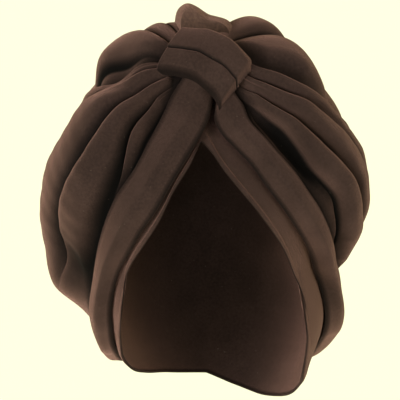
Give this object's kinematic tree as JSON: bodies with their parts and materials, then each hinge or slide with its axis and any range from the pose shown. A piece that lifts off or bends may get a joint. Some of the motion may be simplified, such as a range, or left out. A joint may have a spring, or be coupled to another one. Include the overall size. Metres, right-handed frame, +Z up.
{
  "type": "turban headwrap",
  "caption": "Pre-shaped jersey turban: a close cap under a full pleated cover, gathered at the brow under a wrapped knot band.",
  "frame": {"origin": "the head seat, the top of the hollow inside the cap, where it rests on the top of a head", "axes": "+Z up, the face looks along -Y, +X to the right of a front view"},
  "size_m": [0.233, 0.2152, 0.2912],
  "materials": {
    "cap_jersey": "matte cotton jersey",
    "crown_jersey": "matte cotton jersey",
    "drape_jersey": "matte cotton jersey",
    "band_jersey": "matte cotton jersey",
    "knot_jersey": "matte cotton jersey",
    "tuft_jersey": "matte cotton jersey"
  },
  "bodies": {
    "root": {"fitted_cap": "cap_jersey", "crown": "crown_jersey", "drape_left": "drape_jersey", "drape_right": "drape_jersey", "brow_band_left": "band_jersey", "brow_band_right": "band_jersey", "knot_band": "knot_jersey", "top_tuft": "tuft_jersey"}
  },
  "joints": []
}
